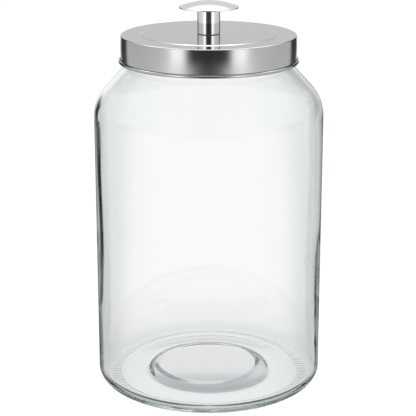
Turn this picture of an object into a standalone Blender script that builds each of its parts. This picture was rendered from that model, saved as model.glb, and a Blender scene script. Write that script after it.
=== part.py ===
"""A large glass storage jar with a screw-on metal lid and a mushroom knob.

Units are metres, +Z is up, and the origin is the centre of the ring that the jar stands on.
Run with: blender --background --python part.py
"""

from math import atan2, cos, pi, radians, sin, sqrt, tan

import bmesh
import bpy
from mathutils import Matrix, Vector

MM = 0.001
GAP = 0.3 * MM  # left between pieces that touch

# ---- driving dimensions: jar ----
BODY_RADIUS = 110 * MM
BODY_WALL = 5.2 * MM
BODY_TOP = 267 * MM  # the straight wall ends here and the shoulder begins
HEEL_RADIUS = 13 * MM
SHOULDER_RADIUS = 40 * MM
SHOULDER_TURN = radians(42)  # how far the shoulder's arc turns in from the wall
NECK_RADIUS = 78.4 * MM
NECK_WALL = 4.4 * MM
NECK_FILLET = 4 * MM
RIM_TOP = 340 * MM
RIM_ROUNDING = 2 * MM
FOOT_INNER = 87 * MM  # the jar stands on a flat ring from here out to the heel
SOLE_RISE = 1.2 * MM  # the sole inside the foot stands clear of the table
PUSH_UP_FOOT, PUSH_UP_TOP = 59 * MM, 50 * MM  # radii of the raised disc under the sole
PUSH_UP_HEIGHT = 8 * MM
FLOOR_TOP = 6.8 * MM
FLOOR_HUMP_TOP = 13.2 * MM  # the floor follows the raised disc

# ---- driving dimensions: thread, the same helix on the glass and in the lid ----
THREAD_STARTS = 4
THREAD_LEAD = 20 * MM  # rise of the lid in one turn
THREAD_PITCH = THREAD_LEAD / THREAD_STARTS
RIDGE_ROOT, RIDGE_CREST = 3.4 * MM, 1.2 * MM  # a ridge's width along the axis, at its root and its crest
RIDGE_SINK = 0.8 * MM  # how far a ridge's root is buried in its wall
GLASS_RIDGE_DEPTH = 1.8 * MM
GLASS_RIDGE_START = radians(3)
GLASS_RIDGE_SPAN = radians(120)
GLASS_RIDGE_LOW = 326.3 * MM  # centre of a glass ridge at its lower end
LID_RIDGE_DEPTH = 1.7 * MM
LID_RIDGE_SPAN = radians(60)
LID_RIDGE_LEAD_IN = radians(18)  # where a lid ridge starts, past the glass ridge's lower end
RIDGE_STEP = radians(6)
RIDGE_END_TAPER = radians(10)

# ---- driving dimensions: lid ----
COVER_RADIUS = 83.6 * MM
SHEET = 0.6 * MM
COVER_TOP = 344.8 * MM
COVER_CORNER = 1.2 * MM
PANEL_RISE = 0.7 * MM  # the middle of the lid stands above its outer band
PANEL_EDGE, BAND_EDGE = 60 * MM, 67 * MM  # the step between them
CURL_RADIUS = 1.5 * MM
CURL_BOTTOM = 318.8 * MM
CURL_END = radians(100)
SCREW_HOLE = 2.4 * MM
LINER_WALL = 2.0 * MM
LINER_WEB = 1.3 * MM
LINER_BOTTOM = 320.6 * MM
LINER_WEB_INNER = 76 * MM
SEAL_INNER, SEAL_OUTER = 70 * MM, 80.2 * MM
SEAL_THICKNESS = 2.0 * MM

# ---- driving dimensions: knob and its fastener ----
STEM_RADIUS = 10.8 * MM
STEM_TOP = 369.7 * MM
STEM_CHAMFER = 0.4 * MM
SPIGOT_RADIUS, SPIGOT_HEIGHT = 4.0 * MM, 3.6 * MM
TAPPED_HOLE = 2.25 * MM
TAPPED_DEPTH = 13 * MM
CAP_RADIUS = 28.5 * MM
CAP_TOP = 376.6 * MM
CAP_RIM = 370.7 * MM
CAP_UNDERSIDE = 370.0 * MM
CAP_EDGE = 0.7 * MM
GASKET_RADIUS, GASKET_THICKNESS = 10.5 * MM, 0.6 * MM
WASHER_RADIUS, WASHER_THICKNESS = 9.0 * MM, 1.0 * MM
SPRING_RADIUS, SPRING_WIRE = 3.9 * MM, 1.1 * MM
WASHER_HOLE = 2.25 * MM
SCREW_RADIUS = 1.95 * MM
SCREW_HEAD_RADIUS, SCREW_HEAD_HEIGHT = 4.0 * MM, 2.4 * MM
SCREW_REACH = 11.5 * MM  # length of shank above the lid's panel
RECESS_ARM, RECESS_WIDTH, RECESS_DEPTH = 2.3 * MM, 0.9 * MM, 1.4 * MM

# ---- facets ----
JAR_SIDES = 60
LID_SIDES = 60
KNOB_SIDES = 36
SMALL_SIDES = 24
SMOOTH_ANGLE = radians(35)

# ---- derived heights of the stack, from the lid's panel outwards ----
PANEL_TOP = COVER_TOP + PANEL_RISE
GASKET_BOTTOM = PANEL_TOP + GAP
STEM_BOTTOM = GASKET_BOTTOM + GASKET_THICKNESS + GAP
WASHER_TOP = PANEL_TOP - SHEET - GAP
SPRING_TOP = WASHER_TOP - WASHER_THICKNESS - GAP
SCREW_HEAD_TOP = SPRING_TOP - SPRING_WIRE - GAP
LINER_TOP = COVER_TOP - SHEET - GAP
LINER_OUTER = COVER_RADIUS - SHEET - GAP
LINER_INNER = LINER_OUTER - LINER_WALL
SEAL_TOP = LINER_TOP - LINER_WEB - GAP


def clear_scene():
    for obj in list(bpy.data.objects):
        bpy.data.objects.remove(obj)


def material(name, colour, roughness, metallic=0.0, transmission=0.0):
    made = bpy.data.materials.new(name)
    made.use_nodes = True
    shader = made.node_tree.nodes["Principled BSDF"]
    shader.inputs["Base Color"].default_value = (*colour, 1)
    shader.inputs["Roughness"].default_value = roughness
    shader.inputs["Metallic"].default_value = metallic
    shader.inputs["Transmission Weight"].default_value = transmission
    return made


def add_object(name, bm, finish=None):
    """Turns a bmesh into an object with smooth round faces and sharp corners."""
    bmesh.ops.recalc_face_normals(bm, faces=bm.faces)
    mesh = bpy.data.meshes.new(name)
    bm.to_mesh(mesh)
    bm.free()
    mesh.shade_smooth()
    mesh.set_sharp_from_angle(angle=SMOOTH_ANGLE)
    if finish is not None:
        mesh.materials.append(finish)
    obj = bpy.data.objects.new(name, mesh)
    bpy.context.scene.collection.objects.link(obj)
    return obj


def helper(obj):
    """Marks a cutter or an added shape, which isn't a piece of its own."""
    obj.hide_render = True
    obj.display_type = "WIRE"
    return obj


def arc(centre, radius, start, end, steps):
    """Points (r, z) along an arc, both ends included."""
    turn = (end - start) / steps
    return [
        (centre[0] + radius * cos(start + turn * i), centre[1] + radius * sin(start + turn * i))
        for i in range(steps + 1)
    ]


def wave(start, end, steps):
    """Points (r, z) along an S-curve that leaves and arrives level, both ends included."""
    (r0, z0), (r1, z1) = start, end
    points = []
    for i in range(steps + 1):
        share = i / steps
        points.append((r0 + (r1 - r0) * share, z0 + (z1 - z0) * (1 - cos(pi * share)) / 2))
    return points


def turned(name, outline, sides, finish=None, closed=True):
    """Turns an outline of (r, z) points about Z. An outline that starts and ends on the axis isn't closed."""
    bm = bmesh.new()
    verts = [bm.verts.new((r, 0, z)) for r, z in outline]
    pairs = list(zip(verts, verts[1:]))
    if closed:
        pairs.append((verts[-1], verts[0]))
    edges = [bm.edges.new(pair) for pair in pairs]
    bmesh.ops.spin(
        bm, geom=verts + edges, cent=(0, 0, 0), axis=(0, 0, 1), angle=2 * pi, steps=sides, use_merge=True
    )
    bmesh.ops.remove_doubles(bm, verts=bm.verts, dist=0.001 * MM)
    return add_object(name, bm, finish)


def combine(obj, operation, other):
    boolean = obj.modifiers.new(operation.title(), "BOOLEAN")
    boolean.operation = operation
    boolean.solver = "EXACT"
    boolean.object = helper(other)


def ridge_section(wall, depth, share):
    """Corners (r, dz) of a thread ridge. depth is negative for a ridge that points inwards."""
    outward = 1 if depth > 0 else -1
    crest = wall + depth * share
    root = wall - outward * RIDGE_SINK
    return [(root, -RIDGE_ROOT / 2), (crest, -RIDGE_CREST / 2), (crest, RIDGE_CREST / 2), (root, RIDGE_ROOT / 2)]


def thread_ridges(name, wall, depth, first_angle, first_height, span):
    """The right-handed ridges of a thread on a wall, one for each start, as closed shapes in one mesh."""
    bm = bmesh.new()
    steps = round(span / RIDGE_STEP)
    for start in range(THREAD_STARTS):
        rings = []
        for i in range(steps + 1):
            along = span * i / steps
            nearest_end = min(along, span - along)
            share = min(1.0, 0.15 + nearest_end / RIDGE_END_TAPER)
            angle = first_angle + along + 2 * pi * start / THREAD_STARTS
            height = first_height + THREAD_LEAD * along / (2 * pi)
            section = ridge_section(wall, depth, share)
            rings.append([bm.verts.new((r * cos(angle), r * sin(angle), height + dz)) for r, dz in section])
        for ring, following in zip(rings, rings[1:]):
            for j in range(len(ring)):
                k = (j + 1) % len(ring)
                bm.faces.new((ring[j], ring[k], following[k], following[j]))
        bm.faces.new(rings[0])
        bm.faces.new(rings[-1])
    return add_object(name, bm)


def shoulder_line():
    """(start, end) of the straight slope between the shoulder's arc and the neck's outer face."""
    start = (
        BODY_RADIUS - SHOULDER_RADIUS * (1 - cos(SHOULDER_TURN)),
        BODY_TOP + SHOULDER_RADIUS * sin(SHOULDER_TURN),
    )
    run = start[0] - NECK_RADIUS
    return start, (NECK_RADIUS, start[1] + run / tan(SHOULDER_TURN))


def jar_outside():
    """The jar's outer outline, from the axis under the sole up to the top of the rim."""
    heel = (BODY_RADIUS - HEEL_RADIUS, HEEL_RADIUS)
    _, meets_neck = shoulder_line()
    fillet_length = NECK_FILLET * tan(SHOULDER_TURN / 2)
    fillet = (NECK_RADIUS + NECK_FILLET, meets_neck[1] + fillet_length)
    rim = (NECK_RADIUS - RIM_ROUNDING, RIM_TOP - RIM_ROUNDING)
    return [
        (0, PUSH_UP_HEIGHT),
        (PUSH_UP_TOP, PUSH_UP_HEIGHT),
        (PUSH_UP_FOOT, SOLE_RISE),
        (FOOT_INNER - SOLE_RISE, SOLE_RISE),
        (FOOT_INNER, 0),
        *arc(heel, HEEL_RADIUS, -pi / 2, 0, 5),
        *arc((BODY_RADIUS - SHOULDER_RADIUS, BODY_TOP), SHOULDER_RADIUS, 0, SHOULDER_TURN, 5),
        *arc(fillet, NECK_FILLET, pi + SHOULDER_TURN, pi, 2),
        *arc(rim, RIM_ROUNDING, 0, pi / 2, 3),
    ]


def jar_inside():
    """The jar's inner outline, from the top of the rim down to the axis on the floor."""
    inner_radius = BODY_RADIUS - BODY_WALL
    bore = NECK_RADIUS - NECK_WALL
    rim = (bore + RIM_ROUNDING, RIM_TOP - RIM_ROUNDING)
    arc_radius = SHOULDER_RADIUS - BODY_WALL
    arc_centre = (inner_radius - arc_radius, BODY_TOP)
    slope_start = arc_centre[0] + arc_radius * cos(SHOULDER_TURN)
    slope_height = arc_centre[1] + arc_radius * sin(SHOULDER_TURN)
    meets_bore = slope_height + (slope_start - bore) / tan(SHOULDER_TURN)
    fillet_radius = NECK_FILLET + NECK_WALL
    fillet = (bore + fillet_radius, meets_bore + fillet_radius * tan(SHOULDER_TURN / 2))
    heel_radius = HEEL_RADIUS - BODY_WALL
    heel = (inner_radius - heel_radius, FLOOR_TOP + heel_radius)
    return [
        *arc(rim, RIM_ROUNDING, pi / 2, pi, 3),
        *arc(fillet, fillet_radius, pi, pi + SHOULDER_TURN, 2),
        *arc(arc_centre, arc_radius, SHOULDER_TURN, 0, 5),
        *arc(heel, heel_radius, 0, -pi / 2, 4),
        *wave((PUSH_UP_FOOT + 6 * MM, FLOOR_TOP), (PUSH_UP_TOP - 8 * MM, FLOOR_HUMP_TOP), 4),
        (0, FLOOR_HUMP_TOP),
    ]


def make_jar(glass):
    jar = turned("glass_jar", jar_outside() + jar_inside(), JAR_SIDES, glass, closed=False)
    ridges = thread_ridges(
        "glass_ridges", NECK_RADIUS, GLASS_RIDGE_DEPTH, GLASS_RIDGE_START, GLASS_RIDGE_LOW, GLASS_RIDGE_SPAN
    )
    combine(jar, "UNION", ridges)
    return jar


def make_cover(steel):
    """The spun sheet cover: a raised panel, a rounded corner, a plain skirt and an open curl at its lower edge."""
    corner = (COVER_RADIUS - COVER_CORNER, COVER_TOP - COVER_CORNER)
    skirt_inner = COVER_RADIUS - SHEET
    curl = (skirt_inner + CURL_RADIUS, CURL_BOTTOM + CURL_RADIUS)
    curl_inner = CURL_RADIUS - SHEET
    meets_skirt = curl[1] + sqrt(max(0.0, curl_inner**2 - (curl[0] - COVER_RADIUS) ** 2))
    upper = [
        (SCREW_HOLE, PANEL_TOP),
        *wave((PANEL_EDGE, PANEL_TOP), (BAND_EDGE, COVER_TOP), 4),
        *arc(corner, COVER_CORNER, pi / 2, 0, 3),
        (COVER_RADIUS, meets_skirt),
        *arc(curl, curl_inner, pi, 2 * pi + CURL_END, 7)[1:],
    ]
    lower = [
        *arc(curl, CURL_RADIUS, 2 * pi + CURL_END, pi, 7),
        *arc(corner, COVER_CORNER - SHEET, 0, pi / 2, 2),
        *wave((BAND_EDGE, COVER_TOP - SHEET), (PANEL_EDGE, PANEL_TOP - SHEET), 4),
        (SCREW_HOLE, PANEL_TOP - SHEET),
    ]
    return turned("lid_cover", upper + lower, LID_SIDES, steel)


def make_thread_liner(plastic):
    """The plastic ring pressed into the cover, with a web over the seal and the lid's half of the thread."""
    chamfer = 0.5 * MM
    outline = [
        (LINER_WEB_INNER, LINER_TOP),
        (LINER_OUTER - chamfer, LINER_TOP),
        (LINER_OUTER, LINER_TOP - chamfer),
        (LINER_OUTER, LINER_BOTTOM),
        (LINER_INNER + chamfer, LINER_BOTTOM),
        (LINER_INNER, LINER_BOTTOM + chamfer),
        (LINER_INNER, LINER_TOP - LINER_WEB),
        (LINER_WEB_INNER, LINER_TOP - LINER_WEB),
    ]
    liner = turned("thread_liner", outline, LID_SIDES, plastic)
    lead_in_rise = THREAD_LEAD * LID_RIDGE_LEAD_IN / (2 * pi)
    ridges = thread_ridges(
        "lid_ridges",
        LINER_INNER,
        -LID_RIDGE_DEPTH,
        GLASS_RIDGE_START + LID_RIDGE_LEAD_IN,
        GLASS_RIDGE_LOW + lead_in_rise - THREAD_PITCH / 2,
        LID_RIDGE_SPAN,
    )
    combine(liner, "UNION", ridges)
    return liner


def make_seal(rubber):
    bead = 0.4 * MM
    outline = [
        (SEAL_INNER, SEAL_TOP),
        (SEAL_OUTER - bead, SEAL_TOP),
        (SEAL_OUTER, SEAL_TOP - bead),
        (SEAL_OUTER, SEAL_TOP - SEAL_THICKNESS + bead),
        (SEAL_OUTER - bead, SEAL_TOP - SEAL_THICKNESS),
        (SEAL_INNER, SEAL_TOP - SEAL_THICKNESS),
    ]
    return turned("seal_ring", outline, LID_SIDES, rubber)


def make_stem(chrome):
    """The knob's stem: tapped from below for the screw, with a spigot on top for the cap."""
    point = TAPPED_HOLE / tan(radians(59))  # the drill's conical end
    outline = [
        (0, STEM_BOTTOM + TAPPED_DEPTH + point),
        (TAPPED_HOLE, STEM_BOTTOM + TAPPED_DEPTH),
        (TAPPED_HOLE, STEM_BOTTOM),
        (STEM_RADIUS - STEM_CHAMFER, STEM_BOTTOM),
        (STEM_RADIUS, STEM_BOTTOM + STEM_CHAMFER),
        (STEM_RADIUS, STEM_TOP - STEM_CHAMFER),
        (STEM_RADIUS - STEM_CHAMFER, STEM_TOP),
        (SPIGOT_RADIUS, STEM_TOP),
        (SPIGOT_RADIUS, STEM_TOP + SPIGOT_HEIGHT - STEM_CHAMFER),
        (SPIGOT_RADIUS - STEM_CHAMFER, STEM_TOP + SPIGOT_HEIGHT),
        (0, STEM_TOP + SPIGOT_HEIGHT),
    ]
    return turned("knob_stem", outline, KNOB_SIDES, chrome, closed=False)


def make_cap(chrome):
    """The knob's domed cap, a slice of a sphere with a rounded rim and a socket for the stem's spigot."""
    dome_height = CAP_TOP - CAP_RIM
    dome_radius = (CAP_RADIUS**2 + dome_height**2) / (2 * dome_height)
    dome_centre = (0, CAP_TOP - dome_radius)
    rim_angle = atan2(CAP_RIM - dome_centre[1], CAP_RADIUS)
    edge_centre = (CAP_RADIUS - CAP_EDGE, CAP_RIM)
    socket_radius = SPIGOT_RADIUS + GAP
    socket_top = STEM_TOP + SPIGOT_HEIGHT + GAP
    outline = [
        *arc(dome_centre, dome_radius, pi / 2, rim_angle + radians(1), 8),
        *arc(edge_centre, CAP_EDGE, radians(40), -pi / 2, 4),
        (CAP_RADIUS - 4 * MM, CAP_UNDERSIDE),
        (socket_radius, CAP_UNDERSIDE),
        (socket_radius, socket_top),
        (0, socket_top),
    ]
    return turned("knob_cap", outline, KNOB_SIDES, chrome, closed=False)


def make_gasket(rubber):
    """The thin dark ring between the stem and the lid."""
    top = GASKET_BOTTOM + GASKET_THICKNESS
    outline = [
        (SCREW_HOLE, top),
        (GASKET_RADIUS, top),
        (GASKET_RADIUS, GASKET_BOTTOM),
        (SCREW_HOLE, GASKET_BOTTOM),
    ]
    return turned("stem_gasket", outline, KNOB_SIDES, rubber)


def make_flat_washer(steel):
    chamfer = 0.2 * MM
    bottom = WASHER_TOP - WASHER_THICKNESS
    outline = [
        (WASHER_HOLE, WASHER_TOP),
        (WASHER_RADIUS - chamfer, WASHER_TOP),
        (WASHER_RADIUS, WASHER_TOP - chamfer),
        (WASHER_RADIUS, bottom + chamfer),
        (WASHER_RADIUS - chamfer, bottom),
        (WASHER_HOLE, bottom),
    ]
    return turned("flat_washer", outline, SMALL_SIDES, steel)


def make_spring_washer(steel):
    """A split ring of square wire."""
    opening = radians(14)
    steps = SMALL_SIDES
    bm = bmesh.new()
    rings = []
    for i in range(steps + 1):
        angle = opening / 2 + (2 * pi - opening) * i / steps
        corners = [(WASHER_HOLE, 0), (SPRING_RADIUS, 0), (SPRING_RADIUS, -SPRING_WIRE), (WASHER_HOLE, -SPRING_WIRE)]
        rings.append([bm.verts.new((r * cos(angle), r * sin(angle), SPRING_TOP + dz)) for r, dz in corners])
    for ring, following in zip(rings, rings[1:]):
        for j in range(4):
            k = (j + 1) % 4
            bm.faces.new((ring[j], ring[k], following[k], following[j]))
    bm.faces.new(rings[0])
    bm.faces.new(rings[-1])
    return add_object("spring_washer", bm, steel)


def cross_recess(centre_height):
    """A cross-shaped cutter for the screw's head."""
    bm = bmesh.new()
    arm, half = RECESS_ARM, RECESS_WIDTH / 2
    quarter = [(arm, -half), (arm, half), (half, half)]
    verts = []
    for turn in range(4):
        spin = Matrix.Rotation(turn * pi / 2, 4, "Z")
        verts += [bm.verts.new(spin @ Vector((x, y, centre_height - RECESS_DEPTH))) for x, y in quarter]
    face = bm.faces.new(verts)
    raised = bmesh.ops.extrude_face_region(bm, geom=[face])
    moved = [v for v in raised["geom"] if isinstance(v, bmesh.types.BMVert)]
    bmesh.ops.translate(bm, verts=moved, vec=(0, 0, 2 * RECESS_DEPTH))
    return add_object("screw_recess", bm)


def make_screw(steel):
    """A pan-head machine screw, head down, that holds the knob to the lid."""
    head_bottom = SCREW_HEAD_TOP - SCREW_HEAD_HEIGHT
    rounding = 1.2 * MM
    tip = PANEL_TOP + SCREW_REACH
    chamfer = 0.5 * MM
    head_edge = (SCREW_HEAD_RADIUS - rounding, head_bottom + rounding)
    outline = [
        (0, tip),
        (SCREW_RADIUS - chamfer, tip),
        (SCREW_RADIUS, tip - chamfer),
        (SCREW_RADIUS, SCREW_HEAD_TOP),
        (SCREW_HEAD_RADIUS, SCREW_HEAD_TOP),
        *arc(head_edge, rounding, 0, -pi / 2, 3),
        (0, head_bottom),
    ]
    screw = turned("knob_screw", outline, SMALL_SIDES, steel, closed=False)
    combine(screw, "DIFFERENCE", cross_recess(head_bottom))
    return screw


def main():
    clear_scene()
    glass = material("clear_glass", (0.95, 0.98, 0.97), 0.0, transmission=1.0)
    brushed = material("brushed_steel", (0.72, 0.72, 0.73), 0.28, metallic=1.0)
    chrome = material("polished_chrome", (0.86, 0.87, 0.88), 0.05, metallic=1.0)
    plastic = material("white_plastic", (0.86, 0.86, 0.84), 0.4)
    pale_rubber = material("pale_silicone", (0.80, 0.80, 0.77), 0.55)
    dark_rubber = material("dark_rubber", (0.03, 0.03, 0.03), 0.6)
    zinc = material("zinc_steel", (0.62, 0.62, 0.60), 0.35, metallic=1.0)
    make_jar(glass)
    make_cover(brushed)
    make_thread_liner(plastic)
    make_seal(pale_rubber)
    make_stem(chrome)
    make_cap(chrome)
    make_gasket(dark_rubber)
    make_flat_washer(zinc)
    make_spring_washer(zinc)
    make_screw(zinc)


main()
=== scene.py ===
"""Looks for the lidded glass jar: fine meshes, materials, a plain studio and the camera."""

from collections import namedtuple
from math import cos, pi, radians, sin, tan

import bpy
import numpy as np
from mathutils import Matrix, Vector


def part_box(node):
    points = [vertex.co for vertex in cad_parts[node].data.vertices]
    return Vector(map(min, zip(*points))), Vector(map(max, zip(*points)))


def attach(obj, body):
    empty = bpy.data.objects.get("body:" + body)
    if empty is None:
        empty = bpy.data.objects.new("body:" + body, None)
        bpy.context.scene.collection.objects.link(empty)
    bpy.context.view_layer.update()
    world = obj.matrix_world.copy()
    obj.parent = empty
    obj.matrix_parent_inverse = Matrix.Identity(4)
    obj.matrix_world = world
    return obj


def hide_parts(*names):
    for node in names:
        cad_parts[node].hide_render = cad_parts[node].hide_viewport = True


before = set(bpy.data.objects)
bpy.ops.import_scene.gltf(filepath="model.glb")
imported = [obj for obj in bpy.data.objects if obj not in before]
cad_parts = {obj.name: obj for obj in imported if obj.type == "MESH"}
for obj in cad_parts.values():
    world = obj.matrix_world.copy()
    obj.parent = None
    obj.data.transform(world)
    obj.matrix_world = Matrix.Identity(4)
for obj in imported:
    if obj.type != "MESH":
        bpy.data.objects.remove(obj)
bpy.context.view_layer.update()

MM = 0.001

# ---- sizes read from the frame ----
JAR_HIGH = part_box("glass_jar")[1]
COVER_LOW, COVER_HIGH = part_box("lid_cover")
LINER_LOW, LINER_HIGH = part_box("thread_liner")
SEAL_LOW, SEAL_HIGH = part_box("seal_ring")
STEM_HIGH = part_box("knob_stem")[1]
CAP_LOW, CAP_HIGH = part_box("knob_cap")
GASKET_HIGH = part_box("stem_gasket")[1]
WASHER_LOW, WASHER_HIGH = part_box("flat_washer")
SPRING_LOW, SPRING_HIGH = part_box("spring_washer")
SCREW_LOW, SCREW_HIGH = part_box("knob_screw")
GAP = 0.3 * MM  # left between pieces that touch

# ---- glass ----
BODY_RADIUS = JAR_HIGH[0]
RIM_TOP = JAR_HIGH[2]
BODY_WALL = 5.2 * MM
BODY_TOP = 267 * MM  # the straight wall ends here and the shoulder begins
HEEL_RADIUS = 13 * MM
SHOULDER_RADIUS = 40 * MM
SHOULDER_TURN = radians(42)  # how far the shoulder's arc turns in from the wall
SHOULDER_CENTRE = (BODY_RADIUS - SHOULDER_RADIUS, BODY_TOP)
NECK_RADIUS = 78.4 * MM
NECK_WALL = 4.4 * MM
NECK_FILLET = 4 * MM
RIM_ROUNDING = 2 * MM
WALL_RIPPLES = (  # depth in mm, waves round the wall, metres up for each radian, start in radians
    (0.35, 1, -0.0334, 3.37),
    (0.08, 2, 0.019, 1.1),
    (0.03, 3, -0.011, 0.4),
)

# ---- the jar's bottom ----
FOOT_INNER, FOOT_OUTER = 87.5 * MM, 97.5 * MM  # radii of the ring that the jar stands on
FOOT_TICKS = 144
FOOT_TICK_DEPTH = 0.5 * MM
SOLE_RISE = 1.2 * MM  # how far the sole stands clear of the table beside the raised disc
PUSH_UP_FOOT, PUSH_UP_TOP = 58.5 * MM, 50 * MM  # radii of the raised disc under the sole
PUSH_UP_FOOT_ROUNDING, PUSH_UP_TOP_ROUNDING = 2.5 * MM, 0.7 * MM
PUSH_UP_HEIGHT = 8 * MM
PUSH_UP_OFF_CENTRE = 3 * MM  # towards -X
FLOOR_TOP = 6.8 * MM
FLOOR_HUMP_TOP = 13.6 * MM  # the inside follows the raised disc with a soft hump
FLOOR_HUMP_BROW = (49.5 * MM, 13.2 * MM)
FLOOR_HUMP_FOOT = 61.5 * MM
FLOOR_HUMP_FOOT_ROUNDING, FLOOR_HUMP_BROW_ROUNDING = 18 * MM, 9 * MM
FLOOR_HUMP_FORWARD = 4.5 * MM  # towards -Y

# ---- thread, the same helix on the glass and in the lid ----
THREAD_STARTS = 4
THREAD_LEAD = 20 * MM
THREAD_ROOT, THREAD_CREST = 1.5 * MM, 0.6 * MM  # half widths of a ridge
THREAD_TAPER = radians(10)
GLASS_THREAD_DEPTH = 1.8 * MM
GLASS_THREAD_START = radians(3)
GLASS_THREAD_SPAN = radians(120)
GLASS_THREAD_LOW = 326.3 * MM  # centre of a glass ridge at its lower end
LID_THREAD_DEPTH = 1.7 * MM
LID_THREAD_LEAD_IN = radians(18)  # where a lid ridge starts, past the glass ridge's lower end
LID_THREAD_START = GLASS_THREAD_START + LID_THREAD_LEAD_IN
LID_THREAD_SPAN = radians(60)
LID_THREAD_DROP = THREAD_LEAD / THREAD_STARTS / 2  # half a pitch below the glass ridge that it passes
LID_THREAD_LOW = GLASS_THREAD_LOW + THREAD_LEAD * LID_THREAD_LEAD_IN / (2 * pi) - LID_THREAD_DROP

# ---- cover, liner and seal ----
COVER_RADIUS = 83.6 * MM
SHEET = 0.6 * MM
PANEL_TOP = COVER_HIGH[2]
BAND_TOP = PANEL_TOP - 0.7 * MM  # the outer band lies lower than the panel
COVER_CORNER = 0.9 * MM
PANEL_EDGE, BAND_EDGE = 63.4 * MM, 65.4 * MM  # the step between panel and band
PANEL_STEP_ROUNDING = 2 * MM
SKIRT_BULGE = 0.3 * MM
CURL_RADIUS = 1.5 * MM
CURL_BOTTOM = COVER_LOW[2]
CURL_END = 2 * pi + radians(100)
LINER_WALL, LINER_WEB = 2.0 * MM, 1.3 * MM
LINER_WEB_INNER = 76 * MM
SEAL_INNER = 70 * MM

# ---- knob and its fastener ----
SCREW_HOLE = 2.4 * MM
GASKET_THICKNESS = 0.35 * MM
GASKET_SLACK = 0.03 * MM  # left above and below the gasket
STEM_SPIGOT = 4 * MM
STEM_HOLE, STEM_HOLE_DEPTH, STEM_HOLE_POINT = 2.25 * MM, 13 * MM, 1 * MM
CAP_EDGE = 0.7 * MM
CAP_SOCKET, CAP_SOCKET_DEPTH = 4.3 * MM, 3.6 * MM
WASHER_HOLE = 2.25 * MM
SPRING_SPLIT = radians(14)
SPRING_DROP = 0.12 * MM  # how much lower one end of the spring washer is
SCREW_RADIUS = 1.95 * MM
SCREW_HEAD_ROUNDING = 1.2 * MM
SCREW_PITCH, SCREW_GROOVE = 0.7 * MM, 0.3 * MM
RECESS_ARM, RECESS_HALF, RECESS_DEPTH = 2.3 * MM, 0.45 * MM, 1.4 * MM

# ---- camera ----
EYE = Vector((0, -1.3332, 0.5689))
PITCH_DOWN = radians(16.308)
LENS = 122.7
SENSOR = 36
SHIFT = (-0.0018, -0.0134)

# ---- studio brightness ----
WHITE = 1.05  # the backdrop and floor
BEHIND_GLASS = 1.01  # the same, where the glass shows them


# ======== meshes ========

ON_AXIS = 1e-9  # a point closer to the axis than this lies on it


def arc(centre, radius, start, end, steps):
    """Points (r, z) along an arc, both ends included."""
    turn = (end - start) / steps
    return [
        (centre[0] + radius * cos(start + turn * i), centre[1] + radius * sin(start + turn * i))
        for i in range(steps + 1)
    ]


def rounded(corners, closed=False, arc_steps=6):
    """A path through corners (r, z, rounding), each one rounded with an arc of its own radius."""
    path = []
    count = len(corners)
    for i, (r, z, rounding) in enumerate(corners):
        corner = Vector((r, z))
        at_end = not closed and i in (0, count - 1)
        if at_end or rounding == 0:
            path.append((r, z))
            continue
        before = (Vector(corners[i - 1][:2]) - corner).normalized()
        after = (Vector(corners[(i + 1) % count][:2]) - corner).normalized()
        half = before.angle(after) / 2
        reach = rounding / tan(half)
        centre = corner + (before + after).normalized() * rounding / sin(half)
        first = (corner + before * reach - centre).normalized()
        last = (corner + after * reach - centre).normalized()
        for step in range(arc_steps + 1):
            path.append(tuple(centre + first.slerp(last, step / arc_steps) * rounding))
    return path


def densify(path, spacing):
    """Adds points to a path, so that no two neighbours are further apart than spacing."""
    dense = [path[0]]
    for (r0, z0), (r1, z1) in zip(path, path[1:]):
        length = ((r1 - r0) ** 2 + (z1 - z0) ** 2) ** 0.5
        parts = max(1, int(np.ceil(length / spacing)))
        dense += [(r0 + (r1 - r0) * i / parts, z0 + (z1 - z0) * i / parts) for i in range(1, parts + 1)]
    return dense


def densify_closed(path, spacing):
    """The same for a path that ends where it starts, with its first point given once."""
    return densify(path + path[:1], spacing)[:-1]


def lathe_faces(path, segments, closed):
    """The faces between neighbouring rings of points: those with four corners, then those with three."""
    rings = len(path)
    index = np.arange(rings * segments).reshape(rings, segments)
    following = np.roll(index, -1, axis=1)
    pairs = [(k, k + 1) for k in range(rings - 1)]
    if closed:
        pairs.append((rings - 1, 0))
    quads, fans = [], []
    for low, high in pairs:
        if not closed and abs(path[low][0]) < ON_AXIS:
            corners = [np.repeat(index[low, :1], segments), index[high], following[high]]
            fans.append(np.stack(corners, axis=-1))
        elif not closed and abs(path[high][0]) < ON_AXIS:
            corners = [index[low], np.repeat(index[high, :1], segments), following[low]]
            fans.append(np.stack(corners, axis=-1))
        else:
            corners = [index[low], index[high], following[high], following[low]]
            quads.append(np.stack(corners, axis=-1))
    return [np.concatenate(group) for group in (quads, fans) if group]


def lathe(name, path, segments, closed=False, shape=None):
    """Turns a path of (r, z) points about Z into a smooth mesh object.

    A closed path goes round a section clear of the axis. Any other starts and ends on the axis.
    shape(angle, r, z), if given, returns every point's r and z, and how far it is then shifted
    along X and along Y, from arrays of the same size.
    """
    radii = np.array([r for r, z in path])[:, None]
    heights = np.array([z for r, z in path])[:, None]
    angles = (np.arange(segments) * 2 * pi / segments)[None, :]
    angle, r, z = angles + 0 * radii, radii + 0 * angles, heights + 0 * angles
    along_x, along_y = 0, 0
    if shape is not None:
        r, z, along_x, along_y = shape(angle, r, z)
    points = np.stack([r * np.cos(angle) + along_x, r * np.sin(angle) + along_y, z], axis=-1).reshape(-1, 3)
    return mesh_object(name, points, lathe_faces(path, segments, closed))


def signed_volume(points, groups):
    """Six times the volume that the faces enclose, and negative if they face inwards."""
    volume = 0
    for group in groups:
        first = points[group[:, 0]]
        for i in range(1, group.shape[1] - 1):
            second, third = points[group[:, i]], points[group[:, i + 1]]
            volume += np.einsum("ij,ij->i", first, np.cross(second, third)).sum()
    return volume


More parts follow.
